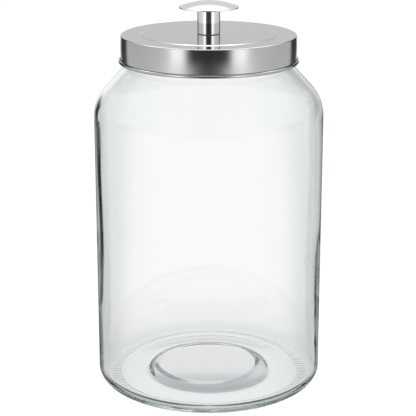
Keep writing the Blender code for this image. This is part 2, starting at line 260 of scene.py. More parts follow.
def mesh_object(name, points, groups):
    """Makes a smooth object from points and groups of faces, each group with one number of corners."""
    used = np.unique(np.concatenate([group.ravel() for group in groups]))
    renumbered = np.zeros(len(points), dtype=int)
    renumbered[used] = np.arange(len(used))
    if signed_volume(points, groups) <= 0:
        groups = [group[:, ::-1] for group in groups]
    groups = [renumbered[group] for group in groups]
    corners = np.concatenate([np.full(len(group), group.shape[1]) for group in groups])
    mesh = bpy.data.meshes.new(name)
    mesh.vertices.add(len(used))
    mesh.vertices.foreach_set("co", points[used].ravel())
    mesh.loops.add(int(corners.sum()))
    mesh.loops.foreach_set("vertex_index", np.concatenate([group.ravel() for group in groups]))
    mesh.polygons.add(len(corners))
    mesh.polygons.foreach_set("loop_start", np.concatenate([[0], np.cumsum(corners)[:-1]]))
    mesh.update(calc_edges=True)
    mesh.shade_smooth()
    obj = bpy.data.objects.new(name, mesh)
    bpy.context.scene.collection.objects.link(obj)
    return obj


def finish_piece(piece, body, node, material):
    """Gives a piece its material and the body that it moves with, and hides the node that it stands for."""
    piece.data.materials.append(material)
    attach(piece, body)
    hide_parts(node)


def smooth_step(value, low, high):
    """0 below low and 1 above high, with a soft change between them."""
    share = np.clip((value - low) / (high - low), 0, 1)
    return share * share * (3 - 2 * share)


def thread_height(angle, z, low, span, first_angle):
    """How much of a thread ridge there is, 0 to 1, at each point of a wall."""
    amount = np.zeros_like(z)
    for start in range(THREAD_STARTS):
        along = np.mod(angle - first_angle - 2 * pi * start / THREAD_STARTS, 2 * pi)
        centre = low + THREAD_LEAD * along / (2 * pi)
        away = np.abs(z - centre)
        flank = 1 - smooth_step(away, THREAD_CREST, THREAD_ROOT)
        from_end = np.minimum(along, span - along)
        taper = np.where(along <= span, smooth_step(from_end, 0, THREAD_TAPER), 0)
        amount = np.maximum(amount, flank * taper)
    return amount


def wall_ripple(angle, z):
    """Slow changes in the wall's thickness, as blown glass has."""
    ripple = np.zeros_like(z)
    for depth, waves, rise, start in WALL_RIPPLES:
        ripple += depth * np.sin(waves * angle + z / rise + start)
    return ripple * MM


def jar_outside():
    """The jar's outer outline, from the axis under the sole to the top of the rim.

    The straight parts stop a little short of the arcs that they join.
    """
    heel = (BODY_RADIUS - HEEL_RADIUS, HEEL_RADIUS)
    slope_r = SHOULDER_CENTRE[0] + SHOULDER_RADIUS * cos(SHOULDER_TURN)
    slope_z = BODY_TOP + SHOULDER_RADIUS * sin(SHOULDER_TURN)
    neck_z = slope_z + (slope_r - NECK_RADIUS) / tan(SHOULDER_TURN)
    fillet = (NECK_RADIUS + NECK_FILLET, neck_z + NECK_FILLET * tan(SHOULDER_TURN / 2))
    rim = (NECK_RADIUS - RIM_ROUNDING, RIM_TOP - RIM_ROUNDING)
    sole = rounded(
        [
            (0, PUSH_UP_HEIGHT, 0),
            (PUSH_UP_TOP, PUSH_UP_HEIGHT, PUSH_UP_TOP_ROUNDING),
            (PUSH_UP_FOOT, SOLE_RISE, PUSH_UP_FOOT_ROUNDING),
            (FOOT_INNER, 0, 0),
            (FOOT_OUTER - 2 * MM, 0, 0),
        ]
    )
    wall = [(BODY_RADIUS, HEEL_RADIUS + 6 * MM), (BODY_RADIUS, BODY_TOP - 4 * MM)]
    slope = [
        (slope_r - 3 * MM, slope_z + 3 * MM / tan(SHOULDER_TURN)),
        (NECK_RADIUS + 3 * MM, neck_z - 3 * MM / tan(SHOULDER_TURN)),
    ]
    neck = [(NECK_RADIUS, fillet[1] + 1 * MM), (NECK_RADIUS, rim[1] - 1 * MM)]
    return [
        *densify(sole, 1.5 * MM),
        *arc(heel, HEEL_RADIUS, -pi / 2 + 0.05, 0, 18),
        *densify(wall, 8 * MM),
        *arc(SHOULDER_CENTRE, SHOULDER_RADIUS, 0, SHOULDER_TURN, 18),
        *densify(slope, 3 * MM),
        *arc(fillet, NECK_FILLET, pi + SHOULDER_TURN, pi, 8),
        *densify(neck, 0.35 * MM),
        *arc(rim, RIM_ROUNDING, 0, pi / 2, 8),
    ]


def jar_inside():
    """The jar's inner outline, from the top of the rim to the axis on the floor."""
    inner = BODY_RADIUS - BODY_WALL
    bore = NECK_RADIUS - NECK_WALL
    rim = (bore + RIM_ROUNDING, RIM_TOP - RIM_ROUNDING)
    shoulder_radius = SHOULDER_RADIUS - BODY_WALL
    slope_r = SHOULDER_CENTRE[0] + shoulder_radius * cos(SHOULDER_TURN)
    slope_z = BODY_TOP + shoulder_radius * sin(SHOULDER_TURN)
    bore_z = slope_z + (slope_r - bore) / tan(SHOULDER_TURN)
    fillet_radius = NECK_FILLET + NECK_WALL
    fillet = (bore + fillet_radius, bore_z + fillet_radius * tan(SHOULDER_TURN / 2))
    heel_radius = HEEL_RADIUS - BODY_WALL
    heel = (inner - heel_radius, FLOOR_TOP + heel_radius)
    neck = [(bore, rim[1] - 2 * MM), (bore, fillet[1] + 1 * MM)]
    slope = [
        (bore + 5 * MM, bore_z - 5 * MM / tan(SHOULDER_TURN)),
        (slope_r - 2 * MM, slope_z + 2 * MM / tan(SHOULDER_TURN)),
    ]
    wall = [(inner, BODY_TOP - 4 * MM), (inner, heel[1] + 4 * MM)]
    floor = rounded(
        [
            (heel[0] - 1 * MM, FLOOR_TOP, 0),
            (FLOOR_HUMP_FOOT, FLOOR_TOP, FLOOR_HUMP_FOOT_ROUNDING),
            (*FLOOR_HUMP_BROW, FLOOR_HUMP_BROW_ROUNDING),
            (0, FLOOR_HUMP_TOP, 0),
        ]
    )
    return [
        *arc(rim, RIM_ROUNDING, pi / 2, pi, 8),
        *densify(neck, 3 * MM),
        *arc(fillet, fillet_radius, pi, pi + SHOULDER_TURN, 8),
        *densify(slope, 3 * MM),
        *arc(SHOULDER_CENTRE, shoulder_radius, SHOULDER_TURN, 0, 18),
        *densify(wall, 4 * MM),
        *arc(heel, heel_radius, 0, -pi / 2, 12),
        *densify(floor, 1.5 * MM),
    ]


def add_neck_thread(angle, r, z, on_outside):
    """The jar's radii with the thread's ridges on its neck."""
    neck = on_outside & (z > RIM_TOP - 20 * MM) & (r > NECK_RADIUS - 0.01 * MM)
    ridge = thread_height(angle, z, GLASS_THREAD_LOW, GLASS_THREAD_SPAN, GLASS_THREAD_START)
    return np.where(neck, r + GLASS_THREAD_DEPTH * ridge, r)


def add_wall_ripple(angle, r, z, on_outside):
    """The jar's radii with its inner wall uneven, which fades out in the heel and the shoulder."""
    on_wall = ~on_outside & (z > FLOOR_TOP + 0.1 * MM) & (r > BODY_RADIUS - 45 * MM)
    fade = smooth_step(z, 12 * MM, 40 * MM) * (1 - smooth_step(z, BODY_TOP, BODY_TOP + 40 * MM))
    return np.where(on_wall, r - wall_ripple(angle, z) * fade, r)


def add_foot_ticks(angle, r, z, on_outside):
    """The jar's heights with small radial grooves cut across its foot ring."""
    on_foot = on_outside & (z < 2 * MM) & (r > FOOT_INNER) & (r < FOOT_OUTER + 1 * MM)
    tick = (1 + np.cos(FOOT_TICKS * angle)) / 2
    across = smooth_step(r, FOOT_INNER, FOOT_INNER + 1.5 * MM)
    across = across * (1 - smooth_step(r, FOOT_OUTER - 2 * MM, FOOT_OUTER + 1 * MM))
    return np.where(on_foot, z + FOOT_TICK_DEPTH * tick * across, z)


def make_jar():
    """The glass jar, with its thread, its uneven wall, the ticks on its foot and its bottom off centre."""
    outside = jar_outside()

    def shape(angle, r, z):
        on_outside = np.arange(r.shape[0])[:, None] < len(outside)
        r = add_neck_thread(angle, r, z, on_outside)
        r = add_wall_ripple(angle, r, z, on_outside)
        z = add_foot_ticks(angle, r, z, on_outside)
        raised = on_outside & (r < FOOT_INNER) & (z < 2 * PUSH_UP_HEIGHT)
        along_x = np.where(raised, -PUSH_UP_OFF_CENTRE * smooth_step(z, 0.1 * MM, PUSH_UP_HEIGHT), 0)
        hump = ~on_outside & (z < 2 * FLOOR_HUMP_TOP) & (r < FLOOR_HUMP_FOOT + 10 * MM)
        along_y = np.where(hump, -FLOOR_HUMP_FORWARD * smooth_step(z, FLOOR_TOP, FLOOR_HUMP_TOP), 0)
        return r, z, along_x, along_y

    jar = lathe("jar_glass", outside + jar_inside(), 3 * FOOT_TICKS, shape=shape)
    finish_piece(jar, "jar", "glass_jar", glass_material())


def cover_path():
    """The sheet cover's closed outline, along its upper face and back along its lower one."""
    skirt_inner = COVER_RADIUS - SHEET
    corner = (COVER_RADIUS - COVER_CORNER, BAND_TOP - COVER_CORNER)
    curl = (skirt_inner + CURL_RADIUS, CURL_BOTTOM + CURL_RADIUS)
    top = rounded(
        [
            (SCREW_HOLE, PANEL_TOP, 0),
            (PANEL_EDGE, PANEL_TOP, PANEL_STEP_ROUNDING),
            (BAND_EDGE, BAND_TOP, PANEL_STEP_ROUNDING),
            (corner[0] - 0.3 * MM, BAND_TOP, 0),
        ]
    )
    skirt = [(COVER_RADIUS, corner[1] - 0.5 * MM), (COVER_RADIUS, curl[1] + 1.2 * MM)]
    skirt_inside = [(skirt_inner, curl[1] + 0.5 * MM), (skirt_inner, corner[1] - 0.5 * MM)]
    upper = [
        *densify(top, 1 * MM),
        *arc(corner, COVER_CORNER, pi / 2, 0, 10),
        *densify(skirt, 1.5 * MM),
        (COVER_RADIUS, curl[1] + 0.75 * MM),
        *arc(curl, CURL_RADIUS - SHEET, pi - 0.2, CURL_END, 22)[1:],
    ]
    lower = [
        *arc(curl, CURL_RADIUS, CURL_END, pi, 24),
        *densify(skirt_inside, 5 * MM),
        *arc(corner, COVER_CORNER - SHEET, 0, pi / 2, 6),
        *[(r, z - SHEET) for r, z in densify(top, 2 * MM)[::-1]],
    ]
    return upper + lower


def make_cover():
    """The spun sheet cover: a raised panel, a rounded corner, a slightly bulged skirt and a rolled edge."""
    top = BAND_TOP - COVER_CORNER
    bottom = CURL_BOTTOM + 2 * CURL_RADIUS
    middle, half = (top + bottom) / 2, (top - bottom) / 2

    def shape(angle, r, z):
        on_skirt = (np.abs(r - COVER_RADIUS) < 1 * MM) & (np.abs(z - middle) < half)
        bulge = SKIRT_BULGE * (1 - ((z - middle) / half) ** 2)
        return np.where(on_skirt, r + bulge, r), z, 0, 0

    cover = lathe("cover_sheet", cover_path(), 288, closed=True, shape=shape)
    finish_piece(cover, "lid", "lid_cover", steel_material())


def make_liner():
    """The plastic ring inside the cover, with the lid's half of the thread and a web over the seal."""
    outer, top, bottom = LINER_HIGH[0], LINER_HIGH[2], LINER_LOW[2]
    inner = outer - LINER_WALL
    web_bottom = top - LINER_WEB
    corners = [
        (LINER_WEB_INNER, top, 0.3 * MM),
        (outer, top, 0.6 * MM),
        (outer, bottom, 0.5 * MM),
        (inner, bottom, 0.5 * MM),
        (inner, web_bottom, 0.3 * MM),
        (LINER_WEB_INNER, web_bottom, 0.3 * MM),
    ]

    def shape(angle, r, z):
        on_thread = (np.abs(r - inner) < 0.2 * MM) & (z < web_bottom - 1 * MM)
        ridge = thread_height(angle, z, LID_THREAD_LOW, LID_THREAD_SPAN, LID_THREAD_START)
        return np.where(on_thread, r - LID_THREAD_DEPTH * ridge, r), z, 0, 0

    path = densify_closed(rounded(corners, closed=True), 0.5 * MM)
    liner = lathe("liner_ring", path, 288, closed=True, shape=shape)
    finish_piece(liner, "lid", "thread_liner", plastic_material())


def make_seal():
    """The flat silicone ring between the liner's web and the rim."""
    inner, outer = SEAL_INNER, SEAL_HIGH[0]
    low, high = SEAL_LOW[2], SEAL_HIGH[2]
    bead = 0.5 * MM
    corners = [(inner, high, bead), (outer, high, bead), (outer, low, bead), (inner, low, bead)]
    path = densify_closed(rounded(corners, closed=True), 1.5 * MM)
    seal = lathe("seal_silicone", path, 240, closed=True)
    finish_piece(seal, "seal", "seal_ring", silicone_material())


def make_stem():
    """The knob's round stem, with a spigot into the cap and a hole for the screw."""
    radius, bottom = STEM_HIGH[0], PANEL_TOP + GASKET_THICKNESS
    top = CAP_LOW[2] - GAP
    path = rounded(
        [
            (0, bottom + STEM_HOLE_DEPTH + STEM_HOLE_POINT, 0),
            (STEM_HOLE, bottom + STEM_HOLE_DEPTH, 0),
            (STEM_HOLE, bottom, 0.2 * MM),
            (radius, bottom, 0.4 * MM),
            (radius, top, 0.4 * MM),
            (STEM_SPIGOT, top, 0.2 * MM),
            (STEM_SPIGOT, STEM_HIGH[2], 0.3 * MM),
            (0, STEM_HIGH[2], 0),
        ]
    )
    stem = lathe("stem_chrome", densify(path, 2 * MM), 160)
    finish_piece(stem, "lid", "knob_stem", chrome_material("stem_polish"))


def make_cap():
    """The knob's domed cap, with a rounded edge, a flat underside and a socket for the stem."""
    radius, top, low = CAP_HIGH[0], CAP_HIGH[2], CAP_LOW[2]
    rim = low + CAP_EDGE
    rise = top - rim
    dome = (radius**2 + rise**2) / (2 * rise)
    centre = (0, top - dome)
    edge_angle = np.arctan2(rim - centre[1], radius)
    roof = low + CAP_SOCKET_DEPTH
    path = [
        *arc(centre, dome, pi / 2, edge_angle + radians(0.9), 40),
        *arc((radius - CAP_EDGE, rim), CAP_EDGE, radians(50), -pi / 2, 12),
        *densify([(radius - 2 * MM, low), (CAP_SOCKET + 0.2 * MM, low)], 3 * MM),
        *rounded([(CAP_SOCKET, low, 0), (CAP_SOCKET, roof, 0.2 * MM), (0, roof, 0)]),
    ]
    cap = lathe("cap_chrome", path, 200)
    finish_piece(cap, "lid", "knob_cap", chrome_material("cap_polish"))


def make_gasket():
    """The thin ring between the stem and the panel."""
    radius, low = GASKET_HIGH[0], PANEL_TOP + GASKET_SLACK
    high = PANEL_TOP + GASKET_THICKNESS - GASKET_SLACK
    bead = 0.12 * MM
    corners = [(SCREW_HOLE, high, bead), (radius, high, bead), (radius, low, bead), (SCREW_HOLE, low, bead)]
    path = densify(rounded(corners, closed=True, arc_steps=4), 1.5 * MM)
    gasket = lathe("gasket_rubber", path, 120, closed=True)
    finish_piece(gasket, "lid", "stem_gasket", rubber_material())


def make_flat_washer():
    """A stamped washer, with one face rounder at its edges than the other."""
    radius, low, high = WASHER_HIGH[0], WASHER_LOW[2], WASHER_HIGH[2]
    edge, burr = 0.25 * MM, 0.1 * MM
    corners = [(WASHER_HOLE, high, burr), (radius, high, burr), (radius, low, edge), (WASHER_HOLE, low, edge)]
    path = densify(rounded(corners, closed=True, arc_steps=4), 1 * MM)
    washer = lathe("washer_plate", path, 96, closed=True)
    finish_piece(washer, "lid", "flat_washer", zinc_material("washer_zinc"))


def make_spring_washer():
    """A split ring of square wire, with one end a little lower than the other."""
    inner, outer = WASHER_HOLE, SPRING_HIGH[0]
    low, high = SPRING_LOW[2] + SPRING_DROP, SPRING_HIGH[2]
    edge = 0.15 * MM
    corners = [(inner, high, edge), (outer, high, edge), (outer, low, edge), (inner, low, edge)]
    section = rounded(corners, closed=True, arc_steps=3)
    steps = 72
    points = []
    for i in range(steps + 1):
        share = i / steps
        angle = SPRING_SPLIT / 2 + (2 * pi - SPRING_SPLIT) * share
        points += [(r * cos(angle), r * sin(angle), z - SPRING_DROP * share) for r, z in section]
    count = len(section)
    index = np.arange(len(points)).reshape(steps + 1, count)
    after = np.roll(index, -1, axis=1)
    sides = np.stack([index[:-1], after[:-1], after[1:], index[1:]], axis=-1).reshape(-1, 4)
    middles = [np.mean([points[k] for k in index[row]], axis=0) for row in (0, -1)]
    first, last = len(points), len(points) + 1
    first_end = np.stack([np.full(count, first), after[0], index[0]], axis=-1)
    last_end = np.stack([np.full(count, last), index[-1], after[-1]], axis=-1)
    ends = np.concatenate([first_end, last_end])
    ring = mesh_object("spring_ring", np.array(points + middles), [sides, ends])
    finish_piece(ring, "lid", "spring_washer", zinc_material("spring_zinc"))


def make_screw():
    """A pan-head machine screw, head down, with a cross recess and a cut thread."""
    head_low, tip = SCREW_LOW[2], SCREW_HIGH[2]
    head_high = SPRING_LOW[2] - GAP
    radius, head, rounding = SCREW_RADIUS, SCREW_HIGH[0], SCREW_HEAD_ROUNDING
    path = [
        *densify([(0, tip), (radius - 0.5 * MM, tip)], 0.4 * MM),
        *densify([(radius, tip - 0.5 * MM), (radius, head_high + 0.2 * MM)], 0.1 * MM),
        *rounded([(radius, head_high, 0), (head, head_high, 0.15 * MM), (head, head_low + 1.5 * MM, 0)]),
        *arc((head - rounding, head_low + rounding), rounding, 0, -pi / 2, 10),
        *densify([(head - rounding - 0.1 * MM, head_low), (0, head_low)], 0.1 * MM),
    ]

    def shape(angle, r, z):
        on_shank = (z > head_high + 0.15 * MM) & (r > radius - 0.6 * MM)
        turn = np.mod(z / SCREW_PITCH - angle / (2 * pi), 1)
        run_out = smooth_step(z, head_high + 1 * MM, head_high + 2 * MM)
        groove = SCREW_GROOVE * (1 - np.abs(2 * turn - 1)) * run_out
        r = np.where(on_shank, r - groove, r)
        x, y = np.abs(r * np.cos(angle)), np.abs(r * np.sin(angle))
        across, along = np.minimum(x, y), np.maximum(x, y)
        inside = 1 - smooth_step(across, RECESS_HALF - 0.12 * MM, RECESS_HALF + 0.12 * MM)
        inside = inside * (1 - smooth_step(along, RECESS_ARM - 0.4 * MM, RECESS_ARM))
        on_face = z < head_low + 0.01 * MM
        return r, np.where(on_face, z + RECESS_DEPTH * inside, z), 0, 0

    screw = lathe("screw_steel", path, 144, shape=shape)
    finish_piece(screw, "lid", "knob_screw", zinc_material("screw_zinc"))


# ======== materials ========


def as_rgba(colour):
    """A fixed colour with full alpha, or a socket as it is."""
    return (*colour, 1) if isinstance(colour, tuple) else colour


class Graph:
    """Short ways to add and join shader nodes."""

    def __init__(self, tree):
        self.tree = tree

    def add(self, kind, **settings):
        """Adds a node and sets its own settings."""
        node = self.tree.nodes.new(kind)
        for key, value in settings.items():
            setattr(node, key, value)
        return node

    def put(self, socket, value):
        """Joins another node's output to a socket, or gives the socket a fixed value."""
        if isinstance(value, bpy.types.NodeSocket):
            self.tree.links.new(value, socket)
        else:
            socket.default_value = value

    def math(self, operation, *values):
        """One step of arithmetic on numbers or sockets."""
        node = self.add("ShaderNodeMath", operation=operation)
        for socket, value in zip(node.inputs, values):
            self.put(socket, value)
        return node.outputs[0]

    def step(self, value, low, high):
        """0 below low and 1 above high, with a soft change between them."""
        node = self.add("ShaderNodeMapRange", interpolation_type="SMOOTHSTEP")
        self.put(node.inputs["Value"], value)
        self.put(node.inputs["From Min"], low)
        self.put(node.inputs["From Max"], high)
        return node.outputs["Result"]

    def table(self, value, span, stops, highest):
        """A level read from (value, level) stops, for values from 0 to span and levels up to highest."""
        node = self.add("ShaderNodeValToRGB")
        elements = node.color_ramp.elements
        elements[0].position, elements[1].position = 0, 1
        while len(elements) < len(stops):
            elements.new(0.5)
        for element, (position, level) in zip(elements, stops):
            element.position = position / span
            element.color = (level / highest, level / highest, level / highest, 1)
        self.put(node.inputs["Fac"], self.math("DIVIDE", value, span))
        return self.math("MULTIPLY", node.outputs["Color"], highest)

    def mix(self, factor, first, second):
        """first where factor is 0 and second where it is 1, for numbers."""
        node = self.add("ShaderNodeMix", data_type="FLOAT")
        self.put(node.inputs[0], factor)
        self.put(node.inputs[2], first)
        self.put(node.inputs[3], second)
        return node.outputs[0]

    def mix_colour(self, factor, first, second):
        """The same for colours (red, green, blue)."""
        first, second = as_rgba(first), as_rgba(second)
        node = self.add("ShaderNodeMix", data_type="RGBA")
        self.put(node.inputs[0], factor)
        self.put(node.inputs[6], first)
        self.put(node.inputs[7], second)
        return node.outputs[2]

    def place(self):
        """The point's x, y and z on the object, in metres."""
        where = self.add("ShaderNodeTexCoord")
        split = self.add("ShaderNodeSeparateXYZ")
        self.put(split.inputs[0], where.outputs["Object"])
        return [split.outputs[i] for i in range(3)]

    def vector(self, x, y, z):
        """A point from its three numbers."""
        node = self.add("ShaderNodeCombineXYZ")
        for socket, value in zip(node.inputs, (x, y, z)):
            self.put(socket, value)
        return node.outputs[0]

    def distance(self, x, y):
        """How far a point at x and y is from the axis."""
        return self.math("SQRT", self.math("ADD", self.math("MULTIPLY", x, x), self.math("MULTIPLY", y, y)))

    def turned_place(self, round_scale, radius_scale, height_scale):
        """A point for textures that follow the turning: round the axis, outwards and up."""
        x, y, z = self.place()
        radius = self.distance(x, y)
        safe_radius = self.math("MAXIMUM", radius, 0.0001)
        around_x = self.math("MULTIPLY", self.math("DIVIDE", x, safe_radius), round_scale)
        around_y = self.math("MULTIPLY", self.math("DIVIDE", y, safe_radius), round_scale)
        outwards = self.math("MULTIPLY", radius, radius_scale)
        upwards = self.math("MULTIPLY", z, height_scale)
        return self.vector(around_x, around_y, self.math("ADD", outwards, upwards))

    def noise(self, scale, detail=2.0, vector=None, roughness=0.5):
        """Random texture from 0 to 1, on the object unless another vector is given."""
        node = self.add("ShaderNodeTexNoise")
        self.put(node.inputs["Scale"], scale)
        self.put(node.inputs["Detail"], detail)
        self.put(node.inputs["Roughness"], roughness)
        if vector is None:
            vector = self.vector(*self.place())
        self.put(node.inputs["Vector"], vector)
        return node.outputs["Fac"]

    def between(self, share, low, high):
        """Spreads a 0 to 1 share over low to high."""
        return self.math("ADD", low, self.math("MULTIPLY", share, high - low))

    def bump(self, height, distance):
        """A surface that seems to rise by up to distance, in metres, where height is 1."""
        node = self.add("ShaderNodeBump")
        self.put(node.inputs["Height"], height)
        self.put(node.inputs["Distance"], distance)
        self.put(node.inputs["Strength"], 1.0)
        return node.outputs["Normal"]


def new_material(name):
    """A material, a graph to add to it, and its shader."""
    made = bpy.data.materials.new(name)
    made.use_nodes = True
    return made, Graph(made.node_tree), made.node_tree.nodes["Principled BSDF"]


def varied_colour(graph, shader, share, dark, light):
    """Lets the base colour go from dark to light with a 0 to 1 share."""
    graph.put(shader.inputs["Base Color"], graph.mix_colour(share, dark, light))


def glass_material():
    """Clear glass with the faint waves of a blown surface, grey-green where it is thick."""
    made, graph, shader = new_material("clear_glass")
    shader.inputs["Base Color"].default_value = (1, 1, 1, 1)
    shader.inputs["Roughness"].default_value = 0
    shader.inputs["IOR"].default_value = 1.52
    shader.inputs["Transmission Weight"].default_value = 1
    waves = graph.noise(22, detail=1.0)
    graph.put(shader.inputs["Normal"], graph.bump(waves, 0.02 * MM))
    absorb = graph.add("ShaderNodeVolumeAbsorption")
    absorb.inputs["Color"].default_value = (0.75, 0.86, 0.85, 1)
    absorb.inputs["Density"].default_value = 5
    graph.put(made.node_tree.nodes["Material Output"].inputs["Volume"], absorb.outputs["Volume"])
    return made


def steel_material():
    """Spun sheet steel: fine rings from the polishing wheel, a few deeper scratches, soft smears."""
    made, graph, shader = new_material("spun_steel")
    shader.inputs["Metallic"].default_value = 1
    shader.inputs["Anisotropic"].default_value = 0.35
    rings = graph.noise(1.0, detail=4.0, vector=graph.turned_place(0.8, 5200, 5200), roughness=0.7)
    smears = graph.noise(34, detail=3.0)
    marks = graph.noise(1.0, detail=1.0, vector=graph.turned_place(2.5, 2300, 2300))
    scratches = graph.step(marks, 0.64, 0.72)
    varied_colour(graph, shader, rings, (0.52, 0.52, 0.53), (0.59, 0.59, 0.60))
    wear = graph.between(smears, 0.085, 0.115)
    wear = graph.math("ADD", wear, graph.math("MULTIPLY", rings, 0.03))
    graph.put(shader.inputs["Roughness"], graph.math("ADD", wear, graph.math("MULTIPLY", scratches, 0.04)))
    relief = graph.math("SUBTRACT", rings, graph.math("MULTIPLY", scratches, 0.5))
    graph.put(shader.inputs["Normal"], graph.bump(relief, 0.0012 * MM))
    tangent = graph.add("ShaderNodeTangent", direction_type="RADIAL", axis="Z")
    graph.put(shader.inputs["Tangent"], tangent.outputs[0])
    return made


def chrome_material(name):
    """Mirror-polished metal with hairline scratches and the faint film of handling."""
    made, graph, shader = new_material(name)
    shader.inputs["Metallic"].default_value = 1
    film = graph.noise(60, detail=3.0)
    hairlines = graph.noise(1.0, detail=2.0, vector=graph.turned_place(3.0, 4200, 4200))
    varied_colour(graph, shader, film, (0.80, 0.81, 0.82), (0.86, 0.87, 0.88))
    graph.put(shader.inputs["Roughness"], graph.between(film, 0.012, 0.035))
    graph.put(shader.inputs["Normal"], graph.bump(hairlines, 0.0004 * MM))
    return made


def plastic_material():
    """Moulded white plastic with a fine spark-eroded grain."""
    made, graph, shader = new_material("white_plastic")
    grain = graph.noise(2600, detail=2.0)
    flow = graph.noise(30, detail=2.0)
    varied_colour(graph, shader, flow, (0.80, 0.80, 0.77), (0.87, 0.87, 0.85))
    graph.put(shader.inputs["Roughness"], graph.between(grain, 0.34, 0.5))
    graph.put(shader.inputs["Normal"], graph.bump(grain, 0.02 * MM))
    return made


def silicone_material():
    """Milky silicone with a dusty, satin skin."""
    made, graph, shader = new_material("pale_silicone")
    shader.inputs["Subsurface Weight"].default_value = 0.3
    shader.inputs["Subsurface Scale"].default_value = 0.004
    dust = graph.noise(900, detail=4.0)
    clouds = graph.noise(45, detail=2.0)
    varied_colour(graph, shader, clouds, (0.76, 0.76, 0.73), (0.83, 0.83, 0.80))
    graph.put(shader.inputs["Roughness"], graph.between(dust, 0.48, 0.66))
    graph.put(shader.inputs["Normal"], graph.bump(dust, 0.015 * MM))
    return made


def rubber_material():
    """Black rubber, a little dusty."""
    made, graph, shader = new_material("dark_rubber")
    dust = graph.noise(1400, detail=4.0)
    varied_colour(graph, shader, graph.step(dust, 0.45, 0.75), (0.025, 0.025, 0.026), (0.09, 0.09, 0.085))
    graph.put(shader.inputs["Roughness"], graph.between(dust, 0.5, 0.75))
    graph.put(shader.inputs["Normal"], graph.bump(dust, 0.02 * MM))
    return made


def zinc_material(name):
    """Bright zinc plate: cloudy colour with a bluish cast, and fine pits."""
    made, graph, shader = new_material(name)
    shader.inputs["Metallic"].default_value = 1
    clouds = graph.noise(420, detail=3.0)
    pits = graph.noise(2800, detail=3.0)
    varied_colour(graph, shader, clouds, (0.56, 0.57, 0.57), (0.66, 0.65, 0.61))
    graph.put(shader.inputs["Roughness"], graph.between(pits, 0.22, 0.42))
    graph.put(shader.inputs["Normal"], graph.bump(pits, 0.008 * MM))
    return made


# ======== studio ========

# Brightness of the room around the jar, by degrees from straight in front, as metal mirrors it: a dark
# gap in front, a soft light on each side of it, pale walls, and a dark gap at each end of the backdrop.
ROOM = (
    (0, 0.035), (20, 0.05), (24, 0.14), (27, 0.4), (30, 0.95), (33, 1.35), (37, 1.6), (46, 1.6), (52, 1.1),
    (58, 0.9), (66, 0.80), (80, 0.75), (110, 0.68), (127, 0.68), (132, 0.45), (135.5, 0.05), (158, 0.04),
    (162, 0.74), (180, 0.74),
)
# The same, as the table round the jar shows it.
TABLE_GLOW = (
    (0, 0.107), (8, 0.15), (16, 0.29), (24, 0.61), (32, 0.98), (40, 1.23), (48, 1.23), (57, 1.04),
    (66, 0.86), (76, 0.78), (90, 0.74), (127, 0.70), (134, 0.4), (138, 0.10), (153, 0.10),
    (158, 0.42), (180, 0.42),
)
# The same, as the face of the glass mirrors it, low down and from eye level up.
ROOM_ON_GLASS = (
    (0, 0.9), (48, 0.9), (60, 0.75), (82, 0.6), (100, 0.38), (118, 0.25), (134, 0.45), (150, 0.5),
    (162, 0.25), (180, 0.1),
)
UPPER_ON_GLASS = ((0, 0.9), (48, 0.9), (60, 0.75), (90, 0.5), (122, 0.4), (142, 0.5), (158, 1.0), (180, 1.0))
# Brightness that light meets after it was turned back inside the glass, by degrees from the backdrop's
# middle: in the room, above eye level, and on the floor round the foot.
ROOM_IN_GLASS = (
    (0, 0.36), (10, 0.33), (18, 0.36), (26, 0.50), (36, 0.78), (42, 0.72), (52, 0.5), (72, 0.55), (90, 0.66),
    (180, 0.6),
)
UPWARDS_IN_GLASS = ((0, 0.93), (32, 0.92), (48, 0.4), (62, 0.1), (180, 0.04))
UPWARDS_RIGHT_SHARE = 0.45  # how much of it there is on the right
UNDERFOOT_IN_GLASS = ((0, 0.70), (15, 0.60), (28, 0.38), (42, 0.18), (85, 0.08), (180, 0.08))
BRIGHTEST = 2.0
LAMP, OVERHEAD_BACK, OVERHEAD_FRONT = 5.0, 1.15, 0.62
OVERHEAD_ON_GLASS = 0.9

# Dark cards beside the backdrop, which only the glass shows. In degrees: top and bottom are how far below
# eye level a card begins and ends, fade is how softly it begins, half is half its width, and lean gives its
# middle as (below eye level, from the backdrop's middle). side is 1 or -1, and level is the share of light
# that the card leaves.
Card = namedtuple("Card", "side top fade bottom half level lean")
LEFT_LEAN = (
    (-10, 38), (-6, 33), (-2, 27), (4, 24), (9, 23), (12, 22), (14, 25), (15, 29), (17, 33), (18, 32),
    (19, 23),
)
RIGHT_LEAN = ((11, 22), (18.2, 24), (19.5, 28), (20.5, 28), (21.5, 26), (22.4, 27))
INNER_LEAN = ((11, 8), (16.3, 13), (17.5, 16), (20.8, 15))
CARDS = (
    Card(side=-1, top=-2.0, fade=5.0, bottom=19.0, half=7.0, level=0.02, lean=LEFT_LEAN),
    Card(side=-1, top=19.3, fade=0.7, bottom=24.0, half=15.0, level=0.55, lean=((0, 16), (24, 16))),
    Card(side=1, top=16.0, fade=0.5, bottom=20.9, half=2.2, level=0.02, lean=INNER_LEAN),
    Card(side=1, top=5.0, fade=1.5, bottom=15.5, half=8.0, level=0.02, lean=((0, 2), (20, 2))),
    Card(side=1, top=18.0, fade=0.5, bottom=22.4, half=4.2, level=0.02, lean=RIGHT_LEAN),
)
CARDS_TOP, CARDS_SPAN = -10, 33  # degrees below eye level
CARDS_WIDEST = 50  # degrees from the backdrop's middle
FACE_LAG = 4.8  # how much further round the face of the glass shows a card than its inside does

PLAIN = (1, 1, 1)
GREEN_GREY = (0.945, 1, 0.985)
FLOOR_GREEN = (0.97, 1, 0.99)
BLUE_GREY = (0.93, 0.965, 1)

FLOOR_RADIUS, FLOOR_SIDES = 1.1, 64
FLOOR_DROP = 0.2 * MM
